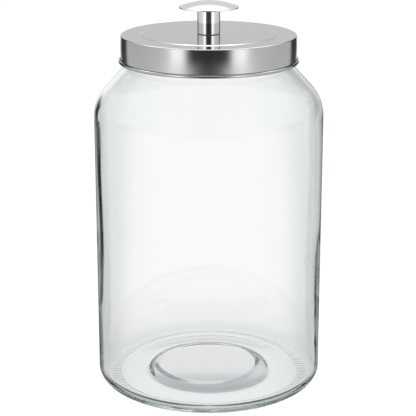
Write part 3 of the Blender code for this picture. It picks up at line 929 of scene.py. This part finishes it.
# Painted shade round the jar: the floor's emitted brightness through the glass, by metres from the jar's
# axis.
FLOOR_SHADE = (
    (0, 0.87), (0.088, 0.87), (0.10, 0.82), (0.12, 0.86), (0.15, 0.92), (0.19, 0.96), (0.23, 0.98),
    (0.28, BEHIND_GLASS), (0.4, BEHIND_GLASS),
)
FLOOR_SHADE_SPAN = 0.4
# Painted shadow under the raised disc: the same, by metres behind its front edge.
HOLLOW_EDGE = 0.057
HOLLOW_SHADE = (
    (0, 0.455), (0.012, 0.465), (0.018, 0.48), (0.025, 0.53), (0.034, 0.54), (0.038, 0.58), (0.042, 0.61),
    (0.046, 0.68), (0.052, 0.74), (0.06, 0.77), (0.12, 0.78),
)
HOLLOW_SPAN = 0.12
# A painted pool of light: the floor's painted brightness spreads from a place in front of the jar and falls
# off to the sides, the share that is left, by metres to the side for each metre behind that place.
LIGHT_START = -1.33
PAINTED_LIGHT_FALLOFF = ((0, 1), (0.057, 1), (0.066, 0.99), (0.074, 0.965), (0.088, 0.93), (0.12, 0.95), (0.15, 1))
LIGHT_SPAN = 0.15


Direction = namedtuple("Direction", "y below is_low from_front from_back signed_back")


def light_direction(graph):
    """Where light comes from: its y, degrees below eye level, and degrees round from front and back."""
    where = graph.add("ShaderNodeTexCoord")
    split = graph.add("ShaderNodeSeparateXYZ")
    graph.put(split.inputs[0], where.outputs["Generated"])
    x, y, z = (split.outputs[i] for i in range(3))
    below = graph.math("MULTIPLY", graph.math("DEGREES", graph.math("ARCSINE", z)), -1)
    signed_front = graph.math("ARCTAN2", x, graph.math("MULTIPLY", y, -1))
    from_front = graph.math("DEGREES", graph.math("ABSOLUTE", signed_front))
    return Direction(
        y=y,
        below=below,
        is_low=graph.step(below, -37, -28),
        from_front=from_front,
        from_back=graph.math("SUBTRACT", 180, from_front),
        signed_back=graph.math("DEGREES", graph.math("ARCTAN2", x, y)),
    )


def light_on_metal(graph, direction):
    """What metal mirrors: the room, the table under it, and a ceiling with a lamp straight above."""
    upper = graph.table(direction.from_front, 180, ROOM, BRIGHTEST)
    lower = graph.table(direction.from_front, 180, TABLE_GLOW, BRIGHTEST)
    around = graph.mix(graph.step(direction.below, 7, 17), upper, lower)
    behind = graph.mix(graph.step(direction.below, -50, -38), LAMP, OVERHEAD_BACK)
    overhead = graph.mix(graph.step(direction.y, 0.15, 0.55), OVERHEAD_FRONT, behind)
    return graph.mix(direction.is_low, overhead, around)


def dark_card(graph, direction, in_glass, card):
    """1 clear of a card and the card's level on it."""
    side_turn = graph.math("MULTIPLY", direction.signed_back, card.side)
    side_turn = graph.math("SUBTRACT", side_turn, graph.mix(in_glass, FACE_LAG, 0.0))
    stops = [(place - CARDS_TOP, turn) for place, turn in card.lean]
    down_the_card = graph.math("SUBTRACT", direction.below, CARDS_TOP)
    middle = graph.table(down_the_card, CARDS_SPAN, stops, CARDS_WIDEST)
    away = graph.math("ABSOLUTE", graph.math("SUBTRACT", side_turn, middle))
    on_card = graph.math("SUBTRACT", 1, graph.step(away, card.half - 2, card.half + 2))
    started = graph.step(direction.below, card.top - card.fade, card.top + card.fade)
    ended = graph.math("SUBTRACT", 1, graph.step(direction.below, card.bottom - 0.5, card.bottom + 0.5))
    on_card = graph.math("MULTIPLY", on_card, graph.math("MULTIPLY", started, ended))
    return graph.mix(on_card, 1.0, card.level)


def light_on_glass(graph, direction, in_glass):
    """What the glass mirrors: on its face, and inside it where light was turned back."""
    face = graph.table(direction.from_front, 180, ROOM_ON_GLASS, BRIGHTEST)
    upper_face = graph.table(direction.from_front, 180, UPPER_ON_GLASS, BRIGHTEST)
    face = graph.mix(graph.step(direction.below, 7, 13), upper_face, face)
    inside = graph.table(direction.from_back, 180, ROOM_IN_GLASS, BRIGHTEST)
    upwards = graph.table(direction.from_back, 180, UPWARDS_IN_GLASS, BRIGHTEST)
    to_the_right = graph.step(direction.signed_back, 8, 20)
    upwards = graph.math("MULTIPLY", upwards, graph.mix(to_the_right, 1.0, UPWARDS_RIGHT_SHARE))
    inside = graph.mix(graph.step(direction.below, 4, 12), upwards, inside)
    around = graph.mix(in_glass, face, inside)
    for card in CARDS:
        around = graph.math("MULTIPLY", around, dark_card(graph, direction, in_glass, card))
    underfoot = graph.table(direction.from_back, 180, UNDERFOOT_IN_GLASS, BRIGHTEST)
    around = graph.mix(graph.step(direction.below, 24, 32), around, underfoot)
    overhead = graph.mix(in_glass, OVERHEAD_ON_GLASS, upwards)
    return graph.mix(direction.is_low, overhead, around)


def studio_colour(graph, direction, mirrored, in_glass):
    """White, except inside the glass: grey-green beside the backdrop's middle, grey-blue from overhead."""
    aside = graph.step(direction.from_back, 3.2, 4.8)
    tinted = graph.mix_colour(aside, PLAIN, GREEN_GREY)
    from_overhead = graph.math("MULTIPLY", mirrored, graph.math("SUBTRACT", 1, direction.is_low))
    tinted = graph.mix_colour(from_overhead, tinted, BLUE_GREY)
    return graph.mix_colour(in_glass, PLAIN, tinted)


def make_world():
    """A plain pale studio. Mirrored light meets soft lights and dark gaps, and direct light only white."""
    world = bpy.data.worlds.new("studio")
    world.use_nodes = True
    bpy.context.scene.world = world
    graph = Graph(world.node_tree)
    background = world.node_tree.nodes["Background"]
    path = graph.add("ShaderNodeLightPath")
    mirrored = graph.math("GREATER_THAN", path.outputs["Glossy Depth"], 0.5)
    in_glass = graph.math("GREATER_THAN", path.outputs["Transmission Depth"], 0.5)
    from_glass = path.outputs["Is Singular Ray"]
    direction = light_direction(graph)
    on_metal = light_on_metal(graph, direction)
    on_glass = light_on_glass(graph, direction, in_glass)
    mirror = graph.mix(from_glass, on_metal, on_glass)
    straight = graph.mix(in_glass, WHITE, BEHIND_GLASS)
    graph.put(background.inputs["Strength"], graph.mix(mirrored, straight, mirror))
    graph.put(background.inputs["Color"], studio_colour(graph, direction, mirrored, in_glass))


def floor_material():
    """A pale floor. Through the glass its emission is painted with shade: soft shade round the jar, a shadow
    under the raised disc and light falling off to the sides. No mirror shows it.
    """
    made, graph, shader = new_material("pale_floor")
    shader.inputs["Base Color"].default_value = (0, 0, 0, 1)
    shader.inputs["Specular IOR Level"].default_value = 0
    shader.inputs["Roughness"].default_value = 1
    path = graph.add("ShaderNodeLightPath")
    in_glass = graph.math("GREATER_THAN", path.outputs["Transmission Depth"], 0.5)
    x, y, _ = graph.place()
    away = graph.distance(x, y)
    outside = graph.step(away, HOLLOW_EDGE, HOLLOW_EDGE + 0.004)
    from_start = graph.math("MAXIMUM", graph.math("SUBTRACT", y, LIGHT_START), 0.01)
    spread = graph.math("DIVIDE", graph.math("ABSOLUTE", x), from_start)

    # Painted shade in the emission seen through the glass: shade round the jar, a painted shadow under the
    # raised disc, and painted light falling off to the sides.
    around = graph.table(away, FLOOR_SHADE_SPAN, FLOOR_SHADE, 1)
    hollow = graph.table(graph.math("ADD", y, HOLLOW_EDGE), HOLLOW_SPAN, HOLLOW_SHADE, 1)
    shade = graph.mix(outside, hollow, around)
    shade = graph.math("MULTIPLY", shade, graph.table(spread, LIGHT_SPAN, PAINTED_LIGHT_FALLOFF, 1))
    graph.put(shader.inputs["Emission Strength"], graph.mix(in_glass, WHITE, shade))

    tint = graph.mix_colour(graph.step(away, 0.12, 0.2), FLOOR_GREEN, PLAIN)
    # Painted shadow colour: grey-blue on the floor under the front of the raised disc.
    painted_front_shadow = graph.math("SUBTRACT", 1, graph.math("MAXIMUM", outside, graph.step(y, -0.02, 0.0)))
    tint = graph.mix_colour(painted_front_shadow, tint, BLUE_GREY)
    tint = graph.mix_colour(graph.step(spread, 0.068, 0.1), tint, GREEN_GREY)
    graph.put(shader.inputs["Emission Color"], graph.mix_colour(in_glass, PLAIN, tint))
    graph.put(shader.inputs["Alpha"], graph.math("LESS_THAN", path.outputs["Glossy Depth"], 0.5))
    return made


def make_floor():
    """A plain round floor just under the jar."""
    mesh = bpy.data.meshes.new("floor")
    turns = [2 * pi * i / FLOOR_SIDES for i in range(FLOOR_SIDES)]
    ring = [(FLOOR_RADIUS * cos(turn), FLOOR_RADIUS * sin(turn), 0) for turn in turns]
    mesh.from_pydata(ring, [], [tuple(range(FLOOR_SIDES))])
    mesh.materials.append(floor_material())
    floor = bpy.data.objects.new("floor", mesh)
    floor.location.z = -FLOOR_DROP
    bpy.context.scene.collection.objects.link(floor)


def make_camera():
    """A long lens in front of the jar, looking down at it from a little above its lid."""
    data = bpy.data.cameras.new("camera")
    data.lens = LENS
    data.sensor_width = SENSOR
    data.shift_x, data.shift_y = SHIFT
    data.clip_start, data.clip_end = 0.05, 20
    camera = bpy.data.objects.new("camera", data)
    camera.location = EYE
    camera.rotation_euler = (pi / 2 - PITCH_DOWN, 0, 0)
    bpy.context.scene.collection.objects.link(camera)
    bpy.context.scene.camera = camera


def main():
    """Builds the studio and all ten pieces, with enough bounces for light inside thick glass."""
    scene = bpy.context.scene
    scene.view_settings.view_transform = "Standard"
    scene.cycles.max_bounces = 80
    scene.cycles.glossy_bounces = 60
    scene.cycles.transmission_bounces = 60
    make_camera()
    make_world()
    make_floor()
    make_jar()
    make_cover()
    make_liner()
    make_seal()
    make_stem()
    make_cap()
    make_gasket()
    make_flat_washer()
    make_spring_washer()
    make_screw()


main()
